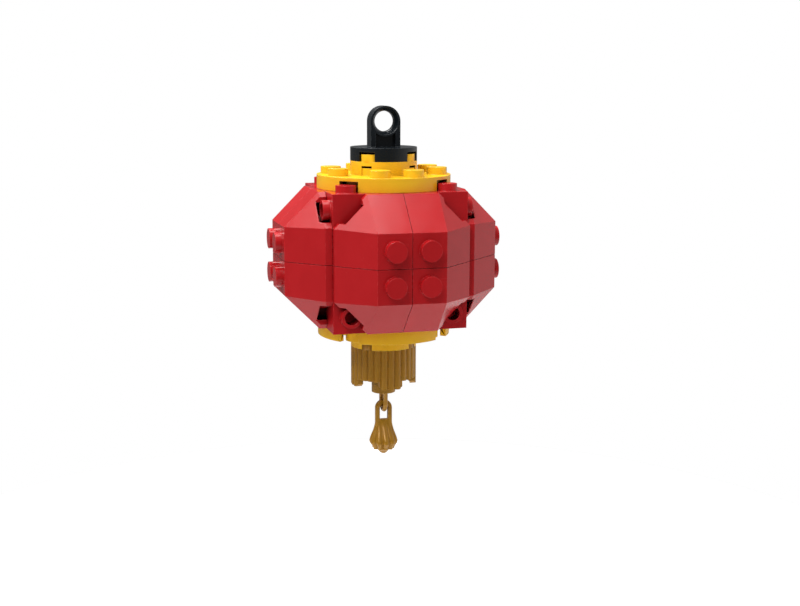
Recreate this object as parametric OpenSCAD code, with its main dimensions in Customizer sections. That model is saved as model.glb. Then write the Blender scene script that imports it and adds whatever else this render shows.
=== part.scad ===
// Hanging palace lantern built from interlocking toy bricks: a red faceted body on a
// stacked core, round yellow caps, a black hanging eye, and a gold barrel with a tassel.
// Millimetres, +Z up, front towards -Y. The origin is the centre of the hanging eye.

/* [Brick grid] */
// Distance between neighbouring stud centres
pitch = 8; // [7.8:0.1:8.4]
// Height of one plate
plate_h = 3.2; // [3:0.1:3.6]
// Diameter of a stud
stud_d = 4.8; // [4.6:0.1:5]
// Height of a stud
stud_h = 1.7; // [1.5:0.1:1.8]
// Gap left on every side of a brick, so that neighbours don't bind
seam = 0.05; // [0.05:0.01:0.12]
// Clearance between a stud and the walls and tubes that hold it
clutch = 0.05; // [0.04:0.01:0.1]
// Thickness of the roof over a brick's underside
roof = 1.2; // [1:0.1:1.2]
// Diameter of the hole in a hollow side stud
side_hole_d = 3.3; // [3:0.1:3.6]

/* [Faceted wedges] */
// Leg of the corner that is cut off each wedge
corner_cut = 7.65; // [7.2:0.05:8]
// Distance from the wedge's inner sides to the stud notch in the cut corner
notch_start = 9.5; // [9:0.1:10]
// Depth of the stud notch, which is also the thickness of the corner wall
notch_depth = 0.85; // [0.8:0.05:1.3]

/* [Round plates] */
// Width of the rim slots in the large round plates
large_slot = 5; // [5:0.1:5.4]
// Width of the rim slots in the small round plates and the barrel
small_slot = 2.7; // [2.6:0.1:3]
// Width of the rim slots in the eyelet plate
eyelet_slot = 4.2; // [3.6:0.1:4.4]
// Thickness left over the rim slots of the large plates
large_roof = 0.8; // [0.8:0.1:1.2]
// Thickness left over the rim slots of the small plates and the eyelet plate
small_roof = 1; // [0.8:0.1:1.2]

/* [Hanging eye] */
// Diameter of the hanging hole
eye_d = 4.8; // [4.4:0.1:5]
// Height of the hole's centre above the eyelet plate
eye_rise = 6; // [5.6:0.1:7]
// Length of the hole's straight land
eye_land = 1.5; // [1:0.1:2.4]
// Diameter of the hole's flared mouths
eye_mouth_d = 6.4; // [5.8:0.1:6.6]
// Width of the upright lug
lug_w = 7.2; // [7:0.1:8]
// Thickness of the upright lug
lug_t = 4; // [3.2:0.1:4.8]
// Width of the recess below the hole
recess_w = 4.8; // [3:0.1:5]
// Thickness of the web left in the recess
web_t = 1.2; // [1:0.1:2]

/* [Barrel] */
// Number of ribs around the barrel
ribs = 28; // [20:4:32]
// Radius of one rib
rib_r = 1; // [0.9:0.05:1.3]
// Height of the gaps between the barrel's feet
foot_h = 1.9; // [1.8:0.1:2.4]
// Width of one foot
foot_w = 5.6; // [5:0.1:6]
// Size of the cut lower corners of a foot
foot_chamfer = 0.6; // [0.4:0.1:0.8]
// Diameter of the ring hanger's pin
pin_d = 4.7; // [4:0.1:4.7]
// Running clearance around the pin, on the radius
pin_clear = 0.05; // [0.03:0.01:0.1]

/* [Ring and tassel] */
// Diameter of the ring hanger's collar
collar_d = 5.8; // [5.4:0.1:6.2]
// Height of the collar
collar_h = 2.15; // [1.8:0.05:2.6]
// Thickness of the ring's wire
wire_d = 1.1; // [0.9:0.1:1.3]
// Inner width of the ring
ring_gap = 2.9; // [2.6:0.1:3.4]
// Drop from the collar to the centre of the ring's round end
ring_drop = 2.6; // [2.4:0.1:3]
// Width of the tassel's loop
loop_w = 4.1; // [3.8:0.1:4.6]
// Width of the loop's bars
loop_bar = 0.97; // [0.8:0.01:1.1]
// Thickness of the loop, front to back
loop_t = 1.25; // [1:0.05:1.5]
// Height of the straight sides of the loop's window
window_drop = 2.95; // [2.6:0.05:3.2]
// Widest diameter of the tassel's skirt
skirt_d = 7; // [6:0.1:8]

/* [Hidden] */
$fn = 64;

red = [0.72, 0.1, 0.12];
yellow = [0.95, 0.7, 0.15];
gold = [0.55, 0.42, 0.16];
black = [0.1, 0.11, 0.12];

// A small overlap, and how far a cutting shape reaches past the surface that it opens
eps = 0.01;
past = 1;

brick_h = 3 * plate_h;
layer_h = 2 * pitch;
stud_r = stud_d / 2;
socket_r = stud_r + clutch;
tube_r = pitch / sqrt(2) - stud_r - clutch;
wall = pitch / 2 - seam - socket_r;
socket_h = stud_h + 0.2;

// Levels, counted down from the eye
eyelet_z = -eye_rise - plate_h;
upper_small_z = eyelet_z - plate_h;
upper_large_z = upper_small_z - plate_h;
mid_z = upper_large_z - layer_h;
core_z = mid_z - layer_h;
lower_large_z = core_z - plate_h;
lower_small_z = lower_large_z - plate_h;
barrel_z = lower_small_z - brick_h;

// Faceted wedge: the slopes fall at 45 degrees from the flat to the lip
wedge_reach = 2 * pitch - seam;
lip = brick_h - pitch;
cut_sum = 4 * pitch - corner_cut;
cut_reach = cut_sum / sqrt(2);
flat_reach = 2 * pitch / sqrt(2);
facet_fall = (brick_h - lip) / (cut_reach - flat_reach);
corner_pocket_h = stud_h + 0.8;

// Round parts
small_r = pitch - seam;
large_r = 2 * pitch - seam;
small_slot_h = plate_h - small_roof;
barrel_inner_r = small_r - wall;
barrel_bore_depth = 8;
barrel_cavity_h = 7.6;
pin_r = pin_d / 2;
pin_l = 7;
collar_gap = 0.05;

// Ring and tassel
collar_z = barrel_z - collar_gap - collar_h;
swing_z = collar_z - ring_drop;
wire_r = wire_d / 2;
ring_r = ring_gap / 2 + wire_r;
loop_r = loop_w / 2;
loop_z = swing_z + loop_bar / 2 - loop_r;
window_z = loop_z - window_drop;
skirt_r = skirt_d / 2;

// ---------------------------------------------------------------- shared shapes

module stud() {
    cylinder(r = stud_r, h = stud_h);
}

module at_grid(columns, rows) {
    for (x = columns, y = rows)
        translate([x * pitch / 2, y * pitch / 2, 0])
            children();
}

module at_diagonals() {
    for (quarter = [0:3])
        rotate([0, 0, 45 + 90 * quarter])
            children();
}

// Open-bottomed box brick, centred in plan, with its base at z = 0
module box_shell(columns, rows, height) {
    size = [columns * pitch - 2 * seam, rows * pitch - 2 * seam, height];
    hollow = size - [2 * wall, 2 * wall, roof];
    difference() {
        translate([-size.x / 2, -size.y / 2, 0])
            cube(size);
        translate([-hollow.x / 2, -hollow.y / 2, -eps])
            cube(hollow + [0, 0, eps]);
    }
}

// Tube between four studs, in the middle of a two by two underside
module centre_tube(height) {
    difference() {
        cylinder(r = tube_r, h = height - eps);
        translate([0, 0, -eps])
            cylinder(r = socket_r, h = height - roof);
    }
}

module two_by_two(height) {
    box_shell(2, 2, height);
    centre_tube(height);
    translate([0, 0, height])
        at_grid([-1, 1], [-1, 1])
            stud();
}

// Tall brick, one or two studs wide, with hollow studs on its -Y side
module side_stud_brick(columns) {
    places = columns == 1 ? [0] : [-1, 1];
    difference() {
        union() {
            box_shell(columns, 1, layer_h);
            if (columns == 2)
                cylinder(r = pitch / 2 - socket_r, h = layer_h - eps);
            translate([0, 0, layer_h])
                at_grid(places, [0])
                    stud();
            at_side_studs(places)
                cylinder(r = stud_r, h = wall / 2 + seam + stud_h);
        }
        at_side_studs(places)
            translate([0, 0, -wall])
                cylinder(d = side_hole_d, h = 2 * wall + stud_h + seam + past);
    }
}

// Side studs start half way into the wall and point along -Y
module at_side_studs(places) {
    for (x = places, z = [1, 3])
        translate([x * pitch / 2, seam + wall / 2 - pitch / 2, z * pitch / 2])
            rotate([90, 0, 0])
                children();
}

// Profile of a wedge across one slope: reach out to a lip, then up to the flat top
module slope_profile(start, reach, lip_h, flat, top) {
    polygon([[start, 0], [reach, 0], [reach, lip_h], [flat, top], [start, top]]);
}

// A wedge without its hollow
module wedge_block() {
    side_lip = brick_h + pitch - wedge_reach;
    three_way() {
        slope_profile(seam, wedge_reach, side_lip, pitch, brick_h);
        slope_profile(-eps, cut_reach, lip, flat_reach, brick_h);
    }
}

// What lies under the first child along both sides of a wedge, and under the second
// child along its diagonal
module three_way() {
    intersection() {
        translate([0, 2 * pitch, 0])
            rotate([90, 0, 0])
                linear_extrude(2 * pitch)
                    children(0);
        rotate([90, 0, 90])
            linear_extrude(2 * pitch)
                children(0);
        rotate([90, 0, 45])
            linear_extrude(4 * pitch, center = true)
                children(1);
    }
}

// Two by two wedge with its outer corner cut off. Its inner corner is at the origin
// and the part spreads along +X and +Y, with its base at z = 0.
module wedge_brick() {
    side_skin = roof * sqrt(2);
    corner_skin = roof * sqrt(1 + facet_fall * facet_fall);
    inner_reach = wedge_reach - wall;
    inner_top = brick_h - roof;
    inner_corner = cut_reach - notch_depth;
    difference() {
        union() {
            wedge_block();
            translate([pitch / 2, pitch / 2, brick_h])
                stud();
        }
        difference() {
            wedge_hollow(side_skin, corner_skin, inner_reach, inner_top, inner_corner);
            translate([pitch, pitch, -past])
                cylinder(r = tube_r, h = brick_h + past);
        }
        translate([pitch, pitch, -past])
            cylinder(r = socket_r, h = brick_h / 2 + past);
        stud_notch(sqrt(2) * inner_corner);
    }
}

// Opening in the cut corner, square to the brick's sides at its ends. It holds every
// point whose x and y add up to more than `sum`.
module stud_notch(sum) {
    far = 2 * pitch;
    translate([0, 0, -past])
        linear_extrude(brick_h + 2 * past)
            polygon([
                [notch_start, sum - notch_start], [sum - notch_start, notch_start],
                [far, notch_start], [far, far], [notch_start, far]
            ]);
}

// Underside of a wedge: it follows the slopes, but keeps room for the studs everywhere
module wedge_hollow(side_skin, corner_skin, reach, top, corner_reach) {
    side_flat = pitch + brick_h - side_skin - top;
    side_end = pitch + brick_h - side_skin - socket_h;
    corner_flat = flat_reach + (brick_h - corner_skin - top) / facet_fall;
    corner_end = flat_reach + (brick_h - corner_skin - corner_pocket_h) / facet_fall;
    start = seam + wall;
    three_way() {
        hollow_profile(start, reach, socket_h, side_end, side_flat, top);
        hollow_profile(0, corner_reach, corner_pocket_h, corner_end, corner_flat, top);
    }
}

module hollow_profile(start, reach, low_h, low_end, flat, top) {
    polygon([
        [start, -past], [reach, -past], [reach, low_h],
        [low_end, low_h], [flat, top], [start, top]
    ]);
}

// Places a wedge on the panel that faces -Y turned by `turn` degrees. The quarters run
// anticlockwise seen from outside: 0 is upper right, 1 upper left, 2 lower left.
module on_panel(turn, quarter) {
    translate([0, 0, mid_z])
        rotate([0, 0, turn])
            translate([0, -2 * pitch, 0])
                rotate([90, 0, 0])
                    rotate([0, 0, 90 * quarter])
                        children();
}

// Places a one stud brick at a corner of the body; turn 0 is the front right corner
module on_corner(turn, base_z) {
    translate([0, 0, base_z])
        rotate([0, 0, turn])
            translate([1.5 * pitch, -1.5 * pitch, 0])
                children();
}

module on_side(turn, base_z) {
    translate([0, 0, base_z])
        rotate([0, 0, turn])
            translate([0, -1.5 * pitch, 0])
                children();
}

// ---------------------------------------------------------------- round plates

// Slots for studs through the rim, from inside its wall outwards
module rim_slots(rim_r, width, height) {
    at_diagonals()
        translate([rim_r - 2 * wall, -width / 2, -past])
            cube([3 * wall, width, height + past]);
}

// The twelve stud places of a four by four plate without its corners
module large_grid() {
    rows = [-3, -1, 1, 3];
    for (x = rows, y = rows)
        if (abs(x) + abs(y) < 6)
            translate([x * pitch / 2, y * pitch / 2, 0])
                children();
}

module large_round_plate() {
    depth = plate_h - large_roof;
    tubes = [-2, 0, 2];
    difference() {
        union() {
            cylinder(r = large_r, h = plate_h, $fn = 128);
            translate([0, 0, plate_h])
                large_grid()
                    stud();
        }
        difference() {
            union() {
                translate([0, 0, -past])
                    cylinder(r = large_r - wall, h = depth + past, $fn = 128);
                translate([0, 0, -past])
                    large_grid()
                        cylinder(r = socket_r, h = depth + past);
                rim_slots(large_r, large_slot, depth);
            }
            at_grid(tubes, tubes)
                cylinder(r = tube_r, h = plate_h);
        }
        translate([0, 0, -past])
            at_grid(tubes, tubes)
                cylinder(r = socket_r, h = depth + past);
    }
}

module small_round_body(slot_width) {
    depth = plate_h - roof;
    difference() {
        cylinder(r = small_r, h = plate_h, $fn = 96);
        difference() {
            union() {
                translate([0, 0, -past])
                    cylinder(r = small_r - wall, h = depth + past, $fn = 96);
                translate([0, 0, -past])
                    at_grid([-1, 1], [-1, 1])
                        cylinder(r = socket_r, h = depth + past);
                rim_slots(small_r, slot_width, small_slot_h);
            }
            cylinder(r = tube_r, h = plate_h);
        }
        translate([0, 0, -past])
            cylinder(r = socket_r, h = depth + past);
    }
}

module small_round_plate() {
    small_round_body(small_slot);
    translate([0, 0, plate_h])
        at_grid([-1, 1], [-1, 1])
            stud();
}

// ---------------------------------------------------------------- eye, barrel, tassel

// Upright lug, arched at the top and recessed below the hole, with the hole at the origin
module lug() {
    half = lug_w / 2;
    recess_depth = (lug_t - web_t) / 2;
    difference() {
        rotate([90, 0, 0])
            linear_extrude(lug_t, center = true)
                union() {
                    circle(r = half);
                    translate([-half, -eye_rise - eps])
                        square([lug_w, eye_rise + eps]);
                }
        rotate([90, 0, 0])
            cylinder(d = eye_d, h = lug_t + past, center = true);
        for (turn = [0, 180])
            rotate([0, 0, turn])
                translate([0, -lug_t / 2, 0])
                    rotate([-90, 0, 0])
                        eye_mouth();
        for (side = [-1, 1])
            translate([0, side * (lug_t / 2 - recess_depth / 2), 0])
                rotate([90, 0, 0])
                    linear_extrude(recess_depth + eps, center = true)
                        recess_outline(half);
    }
}

// Flare from the face of the lug down to the straight land of the hole
module eye_mouth() {
    depth = (lug_t - eye_land) / 2;
    rotate_extrude()
        polygon([
            [0, -past], [eye_mouth_d / 2, -past], [eye_mouth_d / 2, 0],
            [eye_d / 2, depth], [0, depth]
        ]);
}

module recess_outline(half) {
    difference() {
        translate([-recess_w / 2, -eye_rise])
            square([recess_w, eye_rise]);
        circle(r = half);
    }
}

// Ribbed drum: the rib crests reach the rim of the small round plates, and
// neighbouring ribs meet in a valley
module ribbed_drum() {
    centre_r = small_r - rib_r;
    linear_extrude(brick_h) {
        circle(r = centre_r, $fn = 96);
        for (rib = [0:ribs - 1])
            rotate(rib * 360 / ribs)
                translate([0, -centre_r])
                    circle(r = rib_r, $fn = 32);
    }
}

// Everything around the collar and between the four feet, up to the height of the gaps
module between_feet() {
    difference() {
        translate([0, 0, -past])
            cylinder(r = pitch + past, h = foot_h + past);
        translate([0, 0, -2 * past])
            cylinder(r = (barrel_inner_r + collar_d / 2) / 2, h = foot_h + 4 * past);
        for (turn = [0, 90])
            rotate([90, 0, turn])
                linear_extrude(2 * pitch + 4 * past, center = true)
                    foot_outline();
    }
}

// A foot seen from outside, longer than the gaps at both ends
module foot_outline() {
    half = foot_w / 2;
    low = 2 * past;
    narrow = half - foot_chamfer - low;
    polygon([
        [-half, foot_h + past], [-half, foot_chamfer], [-narrow, -low],
        [narrow, -low], [half, foot_chamfer], [half, foot_h + past]
    ]);
}

// Rounded arch with a window, drawn in the XZ plane and centred on Y
module tassel_loop() {
    inner_r = loop_r - loop_bar;
    rotate([90, 0, 0])
        linear_extrude(loop_t, center = true)
            difference() {
                union() {
                    translate([0, loop_z])
                        circle(r = loop_r);
                    translate([-loop_r, window_z - loop_bar])
                        square([loop_w, loop_z - window_z + loop_bar]);
                }
                translate([0, loop_z])
                    circle(r = inner_r);
                translate([-inner_r, window_z])
                    square([2 * inner_r, loop_z - window_z]);
            }
}

// Bell-shaped skirt: neck, flare, hem and domed end, as drops below the window
module tassel_skirt() {
    neck_r = 2.5;
    neck_drop = 2.6;
    hem_drop = 5.8;
    end_drop = 8.8;
    bell = 1.4;
    sheet = 0.1;
    steps = 8;
    flare = [for (i = [0:steps]) [
        neck_r + (skirt_r - neck_r) * pow(i / steps, bell),
        -neck_drop - (hem_drop - neck_drop) * i / steps
    ]];
    dome = [for (i = [1:steps]) [
        skirt_r * cos(90 * i / steps),
        -hem_drop - (end_drop - hem_drop) * sin(90 * i / steps)
    ]];
    translate([0, 0, window_z])
        rotate_extrude()
            polygon(concat([[0, -neck_drop]], flare, dome));
    hull() {
        translate([-loop_r, -loop_t / 2, window_z - loop_bar / 2])
            cube([loop_w, loop_t, loop_bar / 2]);
        translate([0, 0, window_z - neck_drop - sheet])
            cylinder(r = neck_r, h = sheet, $fn = 32);
    }
}

// ---------------------------------------------------------------- sub-parts

module front_wedge_upper_right() color(red) on_panel(0, 0) wedge_brick();
module front_wedge_upper_left() color(red) on_panel(0, 1) wedge_brick();
module front_wedge_lower_left() color(red) on_panel(0, 2) wedge_brick();
module front_wedge_lower_right() color(red) on_panel(0, 3) wedge_brick();
module right_wedge_upper_right() color(red) on_panel(90, 0) wedge_brick();
module right_wedge_upper_left() color(red) on_panel(90, 1) wedge_brick();
module right_wedge_lower_left() color(red) on_panel(90, 2) wedge_brick();
module right_wedge_lower_right() color(red) on_panel(90, 3) wedge_brick();
module back_wedge_upper_right() color(red) on_panel(180, 0) wedge_brick();
module back_wedge_upper_left() color(red) on_panel(180, 1) wedge_brick();
module back_wedge_lower_left() color(red) on_panel(180, 2) wedge_brick();
module back_wedge_lower_right() color(red) on_panel(180, 3) wedge_brick();
module left_wedge_upper_right() color(red) on_panel(-90, 0) wedge_brick();
module left_wedge_upper_left() color(red) on_panel(-90, 1) wedge_brick();
module left_wedge_lower_left() color(red) on_panel(-90, 2) wedge_brick();
module left_wedge_lower_right() color(red) on_panel(-90, 3) wedge_brick();

// The upper corner bricks turn their side studs to the left and right
module upper_corner_front_right() color(red) on_corner(0, mid_z) rotate([0, 0, 90]) side_stud_brick(1);
module upper_corner_back_right() color(red) on_corner(90, mid_z) side_stud_brick(1);
module upper_corner_back_left() color(red) on_corner(180, mid_z) rotate([0, 0, 90]) side_stud_brick(1);
module upper_corner_front_left() color(red) on_corner(-90, mid_z) side_stud_brick(1);

// The lower corner bricks turn theirs to the front and back
module lower_corner_front_right() color(red) on_corner(0, core_z) side_stud_brick(1);
module lower_corner_back_right() color(red) on_corner(90, core_z) rotate([0, 0, 90]) side_stud_brick(1);
module lower_corner_back_left() color(red) on_corner(180, core_z) side_stud_brick(1);
module lower_corner_front_left() color(red) on_corner(-90, core_z) rotate([0, 0, 90]) side_stud_brick(1);

module upper_side_front() color(red) on_side(0, mid_z) side_stud_brick(2);
module upper_side_right() color(red) on_side(90, mid_z) side_stud_brick(2);
module upper_side_back() color(red) on_side(180, mid_z) side_stud_brick(2);
module upper_side_left() color(red) on_side(-90, mid_z) side_stud_brick(2);
module lower_side_front() color(red) on_side(0, core_z) side_stud_brick(2);
module lower_side_right() color(red) on_side(90, core_z) side_stud_brick(2);
module lower_side_back() color(red) on_side(180, core_z) side_stud_brick(2);
module lower_side_left() color(red) on_side(-90, core_z) side_stud_brick(2);

module core_brick_lower() color(red) translate([0, 0, core_z]) two_by_two(brick_h);
module core_brick_middle() color(red) translate([0, 0, core_z + brick_h]) two_by_two(brick_h);
module core_brick_upper() color(red) translate([0, 0, core_z + 2 * brick_h]) two_by_two(brick_h);
module core_plate() color(red) translate([0, 0, core_z + 3 * brick_h]) two_by_two(plate_h);

module upper_plate_large() color(yellow) translate([0, 0, upper_large_z]) large_round_plate();
module upper_plate_small() color(yellow) translate([0, 0, upper_small_z]) small_round_plate();
module lower_plate_large() color(yellow) translate([0, 0, lower_large_z]) large_round_plate();
module lower_plate_small() color(yellow) translate([0, 0, lower_small_z]) small_round_plate();

module eyelet_plate() {
    color(black) {
        translate([0, 0, eyelet_z])
            small_round_body(eyelet_slot);
        lug();
    }
}

module barrel() {
    color(gold)
        translate([0, 0, barrel_z]) {
            difference() {
                ribbed_drum();
                translate([0, 0, -past])
                    difference() {
                        cylinder(r = barrel_inner_r, h = barrel_cavity_h + past);
                        cylinder(d = collar_d, h = brick_h);
                    }
                translate([0, 0, -past])
                    cylinder(r = pin_r + pin_clear, h = barrel_bore_depth + past);
                between_feet();
            }
            translate([0, 0, brick_h])
                at_grid([-1, 1], [-1, 1])
                    stud();
        }
}

module ring_hanger() {
    color(gold) {
        translate([0, 0, collar_z])
            cylinder(d = collar_d, h = collar_h);
        translate([0, 0, collar_z + collar_h - eps])
            cylinder(r = pin_r, h = pin_l);
        for (side = [-1, 1])
            translate([0, side * ring_r, swing_z])
                cylinder(r = wire_r, h = ring_drop + eps, $fn = 32);
        translate([0, 0, swing_z])
            rotate([0, 90, 0])
                rotate([0, 0, -90])
                    rotate_extrude(angle = 180)
                        translate([ring_r, 0])
                            circle(r = wire_r, $fn = 32);
    }
}

module tassel() {
    color(gold) {
        tassel_loop();
        tassel_skirt();
    }
}

front_wedge_upper_left();
front_wedge_upper_right();
front_wedge_lower_left();
front_wedge_lower_right();
right_wedge_upper_left();
right_wedge_upper_right();
right_wedge_lower_left();
right_wedge_lower_right();
back_wedge_upper_left();
back_wedge_upper_right();
back_wedge_lower_left();
back_wedge_lower_right();
left_wedge_upper_left();
left_wedge_upper_right();
left_wedge_lower_left();
left_wedge_lower_right();
upper_corner_front_left();
upper_corner_front_right();
upper_corner_back_right();
upper_corner_back_left();
lower_corner_front_left();
lower_corner_front_right();
lower_corner_back_right();
lower_corner_back_left();
upper_side_front();
upper_side_right();
upper_side_back();
upper_side_left();
lower_side_front();
lower_side_right();
lower_side_back();
lower_side_left();
core_brick_lower();
core_brick_middle();
core_brick_upper();
core_plate();
upper_plate_large();
upper_plate_small();
eyelet_plate();
lower_plate_large();
lower_plate_small();
barrel();
ring_hanger();
tassel();
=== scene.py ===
import math

import bmesh
import bpy
from mathutils import Matrix, Vector


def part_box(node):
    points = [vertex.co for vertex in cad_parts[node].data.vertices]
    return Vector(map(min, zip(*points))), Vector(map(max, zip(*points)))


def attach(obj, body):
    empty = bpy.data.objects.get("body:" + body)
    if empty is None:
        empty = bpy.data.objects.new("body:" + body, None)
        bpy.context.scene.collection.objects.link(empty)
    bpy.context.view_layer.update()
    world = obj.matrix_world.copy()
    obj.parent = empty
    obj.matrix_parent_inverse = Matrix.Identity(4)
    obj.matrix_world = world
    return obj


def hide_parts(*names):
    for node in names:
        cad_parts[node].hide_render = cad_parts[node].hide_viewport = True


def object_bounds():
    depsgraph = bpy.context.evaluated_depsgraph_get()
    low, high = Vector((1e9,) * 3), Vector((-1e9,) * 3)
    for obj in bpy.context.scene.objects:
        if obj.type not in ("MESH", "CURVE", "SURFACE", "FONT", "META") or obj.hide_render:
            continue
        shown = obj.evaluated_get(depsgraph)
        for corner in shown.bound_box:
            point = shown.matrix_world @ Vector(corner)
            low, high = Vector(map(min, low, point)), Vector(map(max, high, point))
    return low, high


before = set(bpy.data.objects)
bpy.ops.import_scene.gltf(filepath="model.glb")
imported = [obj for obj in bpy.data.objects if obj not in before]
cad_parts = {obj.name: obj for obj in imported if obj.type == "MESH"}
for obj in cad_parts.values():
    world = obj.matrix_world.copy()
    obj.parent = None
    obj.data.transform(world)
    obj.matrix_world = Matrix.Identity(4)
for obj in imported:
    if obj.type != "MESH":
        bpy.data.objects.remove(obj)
CAD_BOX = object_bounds()

MM = 0.001

# Plastics: how far apart the patterns of two pieces can lie, in millimetres, and how much
# their batches differ in brightness
PATTERN_SPREAD = 60.0
BATCH_RANGE = 0.08
# Rubbed strip along the edges: its width and how much of its colour shows
RUBBED_WIDTH = 0.3 * MM
RUBBED_SHARE = 0.35
# How much each kind of mark adds to the roughness
SMUDGE_DULLS = 0.07
SCUFF_DULLS = 0.06
RUBBING_DULLS = 0.16
# Relief of the skin: depth and strength of its slow waves, and the share of the grain and
# of the scuffs beside them
RELIEF_DEPTH = 0.02 * MM
RELIEF_STRENGTH = 0.6
GRAIN_SHARE = 0.06
SCUFF_SHARE = 0.03
# Painted shade in hollows: how far the plastics look for something that shades them, and how bright the
# darkest painted shade is
PAINTED_SHADE_REACH = 8 * MM
PAINTED_SHADE_DARKEST = 0.08

# Edges of the moulded pieces. Below SHARP_ANGLE an edge is left as it is, and below
# FLAT_ANGLE its two faces become one
EDGE_RADIUS = 0.1 * MM
RING_EDGE_RADIUS = 0.05 * MM
SHARP_ANGLE = math.radians(28)
FLAT_ANGLE = math.radians(0.6)
WELD_DISTANCE = 0.002 * MM

# Tassel: a loop of bar, whose legs sink a little way into a pleated skirt
LOOP_HALF_WIDTH = 2.08 * MM
BAR_WIDTH = 1.08 * MM
BAR_THICKNESS = 1.25 * MM
BAR_CORNER = 0.28 * MM
ARCH_STEPS = 28
WINDOW_HEIGHT = 5 * MM
LOOP_SINK = 1.6 * MM
VOXEL = 0.08 * MM
TASSEL_TONE = 0.35
# Pleats: their number, the power that shapes the grooves between them (the lower, the
# narrower) and how far a groove lifts the hem, as a share of its depth
PLEATS = 10
GROOVE_POWER = 0.75
HEM_LIFT = 0.45
SKIRT_STEPS = 200
SECTION_STEPS = 6
# Least half width of the skirt, in millimetres
LEAST_HALF = 0.05
# Sections of the skirt, in millimetres: how far below the window, half the width, half
# the thickness and the depth of the pleats
SKIRT_SECTIONS = (
    (-0.05, 1.95, 0.58, 0.0),
    (0.6, 2.15, 0.75, 0.05),
    (1.6, 2.34, 1.2, 0.3),
    (2.7, 2.62, 1.9, 0.5),
    (4.05, 3.12, 2.8, 0.68),
    (5.1, 3.44, 3.4, 0.85),
    (5.7, 3.5, 3.5, 0.9),
    (5.95, 3.42, 3.42, 0.85),
    (6.9, 2.8, 2.8, 0.6),
    (7.35, 2.7, 2.7, 0.5),
    (7.5, 1.9, 1.9, 0.15),
    (7.9, 1.3, 1.3, 0.0),
    (8.35, 0.95, 0.95, 0.0),
    (8.7, 0.45, 0.45, 0.0),
    (8.78, 0.1, 0.1, 0.0),
)

# Camera, measured from the middle of the red body
CAMERA_YAW = math.radians(-15.423)
CAMERA_PITCH = math.radians(10.404)
CAMERA_ROLL = math.radians(-0.18)
CAMERA_DISTANCE = 294.766 * MM
CAMERA_RIGHT = 4.008 * MM
CAMERA_UP = -11.97 * MM
LENS_MM = 54.98
SENSOR_MM = 36

# Studio: how bright its walls, floor and ceiling are, along each axis of the frame
BRIGHTNESS_POSITIVE = (0.72, 0.1, 0.7)
BRIGHTNESS_NEGATIVE = (0.25, 0.12, 1.9)
# Soft boxes: where they stand, seen from the lantern, and how bright they are
SOFT_BOXES = (
    ("left_box", (-0.62, -0.1, 0.78), 3.8),
    ("front_left_box", (-0.45, -0.5, 0.74), 6.8),
    ("top_box", (0, 0, 1), 6.3),
    ("back_box", (-0.2, 0.6, 0.77), 13.5),
)
BOX_SIZE = 250 * MM
BOX_DISTANCE = 500 * MM
FLOOR_RADIUS = 160 * MM
FLOOR_DROP = 45 * MM
FLOOR_SIDES = 96
FLOOR_SHADES = (0.7, 0.73)


# ---------------------------------------------------------------- shading nodes

class Graph:
    """Short calls for laying out the nodes of one material or of the world."""

    def __init__(self, tree):
        self.tree = tree
        tree.nodes.clear()

    def node(self, kind, inputs=(), **settings):
        """Adds a node. `inputs` pairs an input's name or number with a value or an output."""
        made = self.tree.nodes.new(kind)
        for name, value in settings.items():
            setattr(made, name, value)
        for key, value in dict(inputs).items():
            if isinstance(value, bpy.types.NodeSocket):
                self.tree.links.new(value, made.inputs[key])
            else:
                made.inputs[key].default_value = value
        return made

    def math(self, operation, a, b=0.0, clamp=False):
        return self.node("ShaderNodeMath", {0: a, 1: b}, operation=operation, use_clamp=clamp).outputs[0]

    def vector(self, operation, a, b=(0, 0, 0), c=(0, 0, 0)):
        made = self.node("ShaderNodeVectorMath", {0: a, 1: b, 2: c}, operation=operation)
        return made.outputs["Value" if operation == "DOT_PRODUCT" else "Vector"]

    def noise(self, where, scale, detail=2.0, distortion=0.0):
        made = self.node("ShaderNodeTexNoise", {
            "Vector": where, "Scale": scale, "Detail": detail, "Distortion": distortion,
        })
        return made.outputs["Fac"]

    def ramp(self, value, low, high):
        """0 at low, 1 at high, smooth in between."""
        made = self.node("ShaderNodeMapRange", {
            "Value": value, "From Min": low, "From Max": high,
        }, interpolation_type="SMOOTHSTEP")
        return made.outputs["Result"]

    def mix(self, share, a, b):
        made = self.node("ShaderNodeMix", {"Factor": share, "A": a, "B": b}, data_type="RGBA")
        return made.outputs["Result"]


def scratches(g, where, turn, scale):
    """Hairline scuffs that run along one direction."""
    stretched = g.node("ShaderNodeMapping", {
        "Vector": where, "Rotation": turn, "Scale": (scale * 0.04, scale, scale),
    }).outputs["Vector"]
    line = g.noise(stretched, 1.0, detail=3.0, distortion=0.15)
    return g.ramp(line, 0.66, 0.7)


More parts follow.
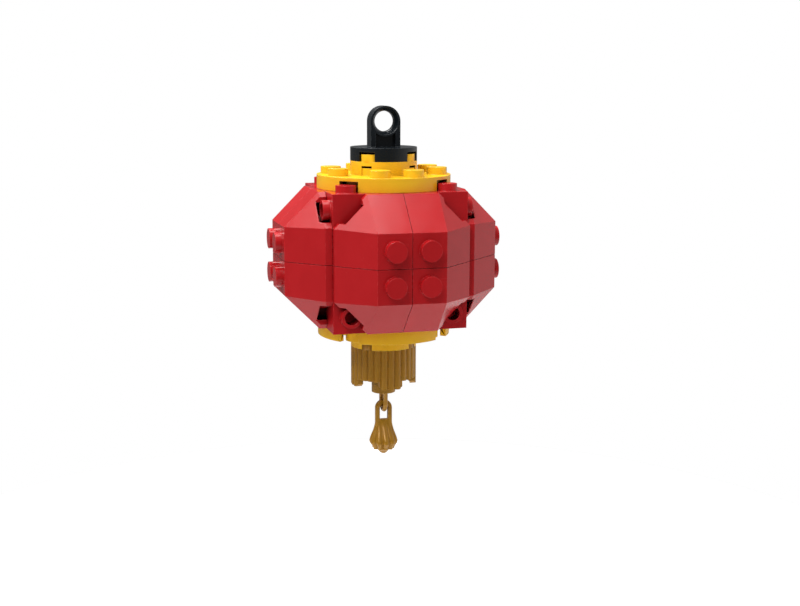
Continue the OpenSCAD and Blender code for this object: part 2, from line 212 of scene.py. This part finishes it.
def moulded_plastic(name, colour, deep, worn, roughness, shine_level, metallic=0.0, pearl=0.0):
    """Injection-moulded plastic with flow marks, smudges, scuffs, worn edges and painted shade in its
    hollows.

    `deep` is the colour of the darker flow marks and `worn` that of the rubbed edges.
    `shine_level` is the strength of the mirrored light, and `pearl` is how strongly
    swirls and flakes of a pearl pigment show. Lengths in the patterns are millimetres."""
    material = bpy.data.materials.new(name)
    material.use_nodes = True
    g = Graph(material.node_tree)
    place = g.node("ShaderNodeTexCoord").outputs["Object"]
    tone = g.node("ShaderNodeAttribute", attribute_type="OBJECT", attribute_name="tone").outputs["Fac"]
    shift = g.math("MULTIPLY", tone, PATTERN_SPREAD)
    where = g.vector("MULTIPLY_ADD", place, (1 / MM, 1 / MM, 1 / MM), shift)

    # Colour: slow flow marks, a slightly different batch for each piece, rubbed edges
    flow = g.ramp(g.noise(where, 0.1, 3.0, 1.4), 0.3, 0.72)
    body = g.mix(flow, (*deep, 1), (*colour, 1))
    if pearl:
        swirl = g.ramp(g.noise(where, 0.28, 4.0, 3.5), 0.42, 0.66)
        flake = g.node("ShaderNodeTexVoronoi", {"Vector": where, "Scale": 9.0}).outputs["Color"]
        spark = g.ramp(g.vector("DOT_PRODUCT", flake, (0.34, 0.33, 0.33)), 0.55, 0.95)
        glint = g.math("ADD", g.math("MULTIPLY", swirl, 0.6), g.math("MULTIPLY", spark, 0.4))
        body = g.mix(g.math("MULTIPLY", glint, pearl), body, (*worn, 1))
    batch = g.math("ADD", g.math("MULTIPLY", tone, BATCH_RANGE), 1 - BATCH_RANGE / 2)
    body = g.node("ShaderNodeHueSaturation", {"Color": body, "Value": batch}).outputs["Color"]
    normal = g.node("ShaderNodeNewGeometry").outputs["Normal"]
    rounded = g.node("ShaderNodeBevel", {"Radius": RUBBED_WIDTH}, samples=3).outputs["Normal"]
    edge = g.ramp(g.vector("DOT_PRODUCT", normal, rounded), 0.99, 0.86)
    rubbed = g.math("MULTIPLY", edge, g.ramp(g.noise(where, 0.9, 4.0), 0.42, 0.62))
    body = g.mix(g.math("MULTIPLY", rubbed, RUBBED_SHARE), body, (*worn, 1))

    # Painted shade: the colour is darkened in deep slots, seams and undersides, where shade falls
    sky = g.node("ShaderNodeAmbientOcclusion", {"Distance": PAINTED_SHADE_REACH}, samples=3).outputs["AO"]
    open_share = g.math("MULTIPLY", g.ramp(sky, 0.04, 0.42), 1 - PAINTED_SHADE_DARKEST)
    shade = g.math("ADD", open_share, PAINTED_SHADE_DARKEST)
    body = g.node("ShaderNodeHueSaturation", {"Color": body, "Value": shade}).outputs["Color"]

    # Gloss: smudges from handling, hairline scuffs, dull spots on the rubbed edges
    smudge = g.ramp(g.noise(where, 0.22, 4.0, 0.6), 0.45, 0.7)
    scuff_a = scratches(g, where, (0.5, 0.9, 0.3), 2.4)
    scuff_b = scratches(g, where, (1.9, 0.4, 1.2), 3.1)
    scuff = g.math("MAXIMUM", scuff_a, scuff_b)
    gloss = g.math("ADD", g.math("MULTIPLY", smudge, SMUDGE_DULLS), roughness)
    gloss = g.math("ADD", g.math("MULTIPLY", scuff, SCUFF_DULLS), gloss)
    gloss = g.math("ADD", g.math("MULTIPLY", rubbed, RUBBING_DULLS), gloss, clamp=True)

    # Relief: slow waviness of the moulded skin, fine grain from the mould, scuffs
    wavy = g.noise(where, 0.45, 1.0)
    grain = g.math("MULTIPLY", g.noise(where, 7.0, 2.0), GRAIN_SHARE)
    relief = g.math("ADD", wavy, grain)
    relief = g.math("SUBTRACT", relief, g.math("MULTIPLY", scuff, SCUFF_SHARE))
    bump = g.node("ShaderNodeBump", {
        "Height": relief, "Strength": RELIEF_STRENGTH, "Distance": RELIEF_DEPTH,
    })

    shader = g.node("ShaderNodeBsdfPrincipled", {
        "Base Color": body, "Roughness": gloss, "Metallic": metallic, "IOR": 1.5,
        "Specular IOR Level": shine_level, "Normal": bump.outputs["Normal"],
    })
    g.node("ShaderNodeOutputMaterial", {"Surface": shader.outputs["BSDF"]})
    return material


def plastics():
    """The four plastics, by the record's slot names."""
    return {
        "red_plastic": moulded_plastic(
            "red_moulded",
            colour=(0.46, 0.0105, 0.014), deep=(0.43, 0.009, 0.012), worn=(0.65, 0.1, 0.1),
            roughness=0.16, shine_level=0.26,
        ),
        "yellow_plastic": moulded_plastic(
            "yellow_moulded",
            colour=(0.95, 0.56, 0.02), deep=(0.93, 0.53, 0.018), worn=(1.0, 0.72, 0.2),
            roughness=0.2, shine_level=0.35,
        ),
        "gold_plastic": moulded_plastic(
            "gold_pearl",
            colour=(0.4, 0.19, 0.006), deep=(0.37, 0.17, 0.005), worn=(0.6, 0.36, 0.1),
            roughness=0.3, shine_level=0.5, metallic=0.2, pearl=0.08,
        ),
        "black_plastic": moulded_plastic(
            "black_moulded",
            colour=(0.006, 0.0085, 0.0115), deep=(0.005, 0.0075, 0.01), worn=(0.08, 0.09, 0.1),
            roughness=0.2, shine_level=0.42,
        ),
    }


# ---------------------------------------------------------------- moulded pieces

def soften(piece, radius):
    """Rounds the sharp edges of a piece a little and shades it evenly."""
    for face in piece.data.polygons:
        face.use_smooth = True
    weld = piece.modifiers.new("weld", "WELD")
    weld.merge_threshold = WELD_DISTANCE
    flats = piece.modifiers.new("join_flats", "DECIMATE")
    flats.decimate_type = "DISSOLVE"
    flats.angle_limit = FLAT_ANGLE
    bevel = piece.modifiers.new("round_edges", "BEVEL")
    bevel.width = radius
    bevel.segments = 2
    bevel.limit_method = "ANGLE"
    bevel.angle_limit = SHARP_ANGLE
    shading = piece.modifiers.new("even_shading", "WEIGHTED_NORMAL")
    shading.weight = 100
    shading.keep_sharp = False


def finish_cad_pieces(finishes):
    """Rounded edges, a plastic and a colour batch of its own for every CAD node."""
    golden = (math.sqrt(5) - 1) / 2
    for count, (name, piece) in enumerate(sorted(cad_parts.items())):
        slot = piece.data.materials[0].name.split(".")[0]
        piece.data.materials.clear()
        piece.data.materials.append(finishes[slot])
        piece["tone"] = (count * golden) % 1.0
        soften(piece, RING_EDGE_RADIUS if name == "ring_hanger" else EDGE_RADIUS)


# ---------------------------------------------------------------- tassel

def curve_through(keys, steps):
    """Points along a smooth curve through the keys, `steps` from each key to the next."""
    padded = [keys[0], *keys, keys[-1]]
    path = []
    for a, b, c, d in zip(padded, padded[1:], padded[2:], padded[3:]):
        for i in range(steps):
            t = i / steps
            slope = (c - a) * t
            bend = (2 * a - 5 * b + 4 * c - d) * t * t
            twist = (3 * b - a - 3 * c + d) * t ** 3
            path.append((2 * b + slope + bend + twist) / 2)
    path.append(keys[-1])
    return path


def joined_rings(rings):
    """Closed bmesh from rings of points."""
    mesh = bmesh.new()
    loops = [[mesh.verts.new(point) for point in ring] for ring in rings]
    count = len(loops[0])
    for upper, lower in zip(loops, loops[1:]):
        for i in range(count):
            j = (i + 1) % count
            mesh.faces.new((upper[i], upper[j], lower[j], lower[i]))
    mesh.faces.new(loops[0][::-1])
    mesh.faces.new(loops[-1])
    bmesh.ops.recalc_face_normals(mesh, faces=mesh.faces)
    return mesh


def skirt_mesh(window):
    """Bell that starts flat under the loop's window and turns round towards the hem, with
    rounded pleats, narrow grooves and a scalloped hem over a small rounded tip."""
    turns = [2 * math.pi * i / SKIRT_STEPS for i in range(SKIRT_STEPS)]
    rings = []
    sections = curve_through([Vector(key) for key in SKIRT_SECTIONS], SECTION_STEPS)
    for drop, half_w, half_t, depth in sections:
        ring = []
        for turn in turns:
            groove = 1 - abs(math.cos(turn * PLEATS / 2)) ** GROOVE_POWER
            across = max(half_w - depth * groove, LEAST_HALF) * math.sin(turn)
            along = max(half_t - depth * groove, LEAST_HALF) * math.cos(turn)
            z = window - (drop - HEM_LIFT * depth * groove) * MM
            ring.append((across * MM, -along * MM, z))
        rings.append(ring)
    return joined_rings(rings)


def bar_section(half_w, half_t, corner, steps=4):
    """Rounded rectangle as offsets across the bar and along its thickness."""
    points = []
    for cx, cy, start in ((1, 1, 0), (-1, 1, 90), (-1, -1, 180), (1, -1, 270)):
        for i in range(steps + 1):
            a = math.radians(start + 90 * i / steps)
            points.append((
                cx * (half_w - corner) + corner * math.cos(a),
                cy * (half_t - corner) + corner * math.sin(a),
            ))
    return points


def loop_mesh(apex, foot):
    """Bar bent into an arch, whose legs sink into the skirt."""
    r = LOOP_HALF_WIDTH - BAR_WIDTH / 2
    centre = apex - LOOP_HALF_WIDTH
    arc = [math.pi * i / ARCH_STEPS for i in range(ARCH_STEPS + 1)]
    path = [(-r * math.cos(a), centre + r * math.sin(a), a) for a in arc]
    path = [(-r, foot, 0.0), *path, (r, foot, math.pi)]
    section = bar_section(BAR_WIDTH / 2, BAR_THICKNESS / 2, BAR_CORNER)
    rings = []
    for x, z, a in path:
        out = Vector((-math.cos(a), 0, math.sin(a)))
        rings.append([Vector((x, thick, z)) + out * across for across, thick in section])
    return joined_rings(rings)


def add_tassel(finish):
    """One moulding: loop, shoulder and pleated skirt, grown together."""
    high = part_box("tassel")[1]
    window = high.z - WINDOW_HEIGHT
    data = bpy.data.meshes.new("tassel_moulding")
    whole = bmesh.new()
    for part in (loop_mesh(high.z, window - LOOP_SINK), skirt_mesh(window)):
        part.to_mesh(data)
        whole.from_mesh(data)
        part.free()
    whole.to_mesh(data)
    whole.free()
    tassel = bpy.data.objects.new("tassel_moulding", data)
    bpy.context.scene.collection.objects.link(tassel)
    remesh = tassel.modifiers.new("grow_together", "REMESH")
    remesh.mode = "VOXEL"
    remesh.voxel_size = VOXEL
    remesh.use_smooth_shade = True
    relax = tassel.modifiers.new("relax", "SMOOTH")
    relax.factor = 0.4
    relax.iterations = 1
    data.materials.append(finish)
    tassel["tone"] = TASSEL_TONE
    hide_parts("tassel")
    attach(tassel, "tassel")


# ---------------------------------------------------------------- studio

def add_floor(low):
    """Round pale table well below the hanging lantern."""
    mesh = bmesh.new()
    bmesh.ops.create_circle(mesh, cap_ends=True, radius=FLOOR_RADIUS, segments=FLOOR_SIDES)
    data = bpy.data.meshes.new("floor")
    mesh.to_mesh(data)
    mesh.free()
    floor = bpy.data.objects.new("floor", data)
    floor.location.z = low.z - FLOOR_DROP
    bpy.context.scene.collection.objects.link(floor)
    material = bpy.data.materials.new("pale_floor")
    material.use_nodes = True
    g = Graph(material.node_tree)
    place = g.node("ShaderNodeTexCoord").outputs["Object"]
    cloud = g.noise(place, 9.0, 2.0)
    darker, lighter = ((level, level, level, 1) for level in FLOOR_SHADES)
    shade = g.mix(cloud, darker, lighter)
    shader = g.node("ShaderNodeBsdfPrincipled", {"Base Color": shade, "Roughness": 0.9})
    g.node("ShaderNodeOutputMaterial", {"Surface": shader.outputs["BSDF"]})
    data.materials.append(material)


def light_studio():
    """White room, brightest below the floor's edge and dimmest in front and behind. The
    camera itself sees it evenly white."""
    mean = [(p + n) / 2 for p, n in zip(BRIGHTNESS_POSITIVE, BRIGHTNESS_NEGATIVE)]
    half = [(p - n) / 2 for p, n in zip(BRIGHTNESS_POSITIVE, BRIGHTNESS_NEGATIVE)]
    world = bpy.data.worlds.new("studio")
    bpy.context.scene.world = world
    world.use_nodes = True
    g = Graph(world.node_tree)
    look = g.node("ShaderNodeTexCoord").outputs["Generated"]
    squared = g.vector("MULTIPLY", look, look)
    side = g.vector("MULTIPLY_ADD", g.vector("SIGN", look), half, mean)
    room = g.vector("DOT_PRODUCT", squared, side)
    seen = g.node("ShaderNodeLightPath").outputs["Is Camera Ray"]
    strength = g.node("ShaderNodeMix", {"Factor": seen, "A": room, "B": 1.0}).outputs["Result"]
    background = g.node("ShaderNodeBackground", {"Color": (1, 1, 1, 1), "Strength": strength})
    g.node("ShaderNodeOutputWorld", {"Surface": background.outputs["Background"]})


def add_soft_boxes(middle):
    """Square lights with the same glow over their whole face, all turned to the lantern."""
    for name, direction, glow in SOFT_BOXES:
        data = bpy.data.lights.new(name, "AREA")
        data.shape = "SQUARE"
        data.size = BOX_SIZE
        data.energy = glow * math.pi * BOX_SIZE ** 2
        box = bpy.data.objects.new(name, data)
        away = Vector(direction).normalized()
        box.location = middle + away * BOX_DISTANCE
        box.rotation_euler = away.to_track_quat("Z", "Y").to_euler()
        bpy.context.scene.collection.objects.link(box)


def add_camera(middle):
    """Camera a little to the left of the front and slightly above the lantern."""
    right = Vector((math.cos(CAMERA_YAW), math.sin(CAMERA_YAW), 0))
    level = Vector((math.sin(CAMERA_YAW), -math.cos(CAMERA_YAW), 0))
    back = level * math.cos(CAMERA_PITCH) + Vector((0, 0, math.sin(CAMERA_PITCH)))
    up = back.cross(right)
    target = middle + right * CAMERA_RIGHT + up * CAMERA_UP
    turned_right = right * math.cos(CAMERA_ROLL) - up * math.sin(CAMERA_ROLL)
    turned_up = right * math.sin(CAMERA_ROLL) + up * math.cos(CAMERA_ROLL)
    data = bpy.data.cameras.new("camera")
    data.lens = LENS_MM
    data.sensor_width = SENSOR_MM
    data.clip_start = 1 * MM
    camera = bpy.data.objects.new("camera", data)
    bpy.context.scene.collection.objects.link(camera)
    turn = Matrix((turned_right, turned_up, back)).transposed()
    camera.matrix_world = Matrix.Translation(target + back * CAMERA_DISTANCE) @ turn.to_4x4()
    bpy.context.scene.camera = camera


finishes = plastics()
finish_cad_pieces(finishes)
add_tassel(finishes["gold_plastic"])
add_floor(CAD_BOX[0])
light_studio()
# The two layers of bricks meet half way up the red body
body_middle = Vector((0, 0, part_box("upper_side_front")[0].z))
add_soft_boxes(body_middle)
add_camera(body_middle)
bpy.context.scene.view_settings.view_transform = "Standard"
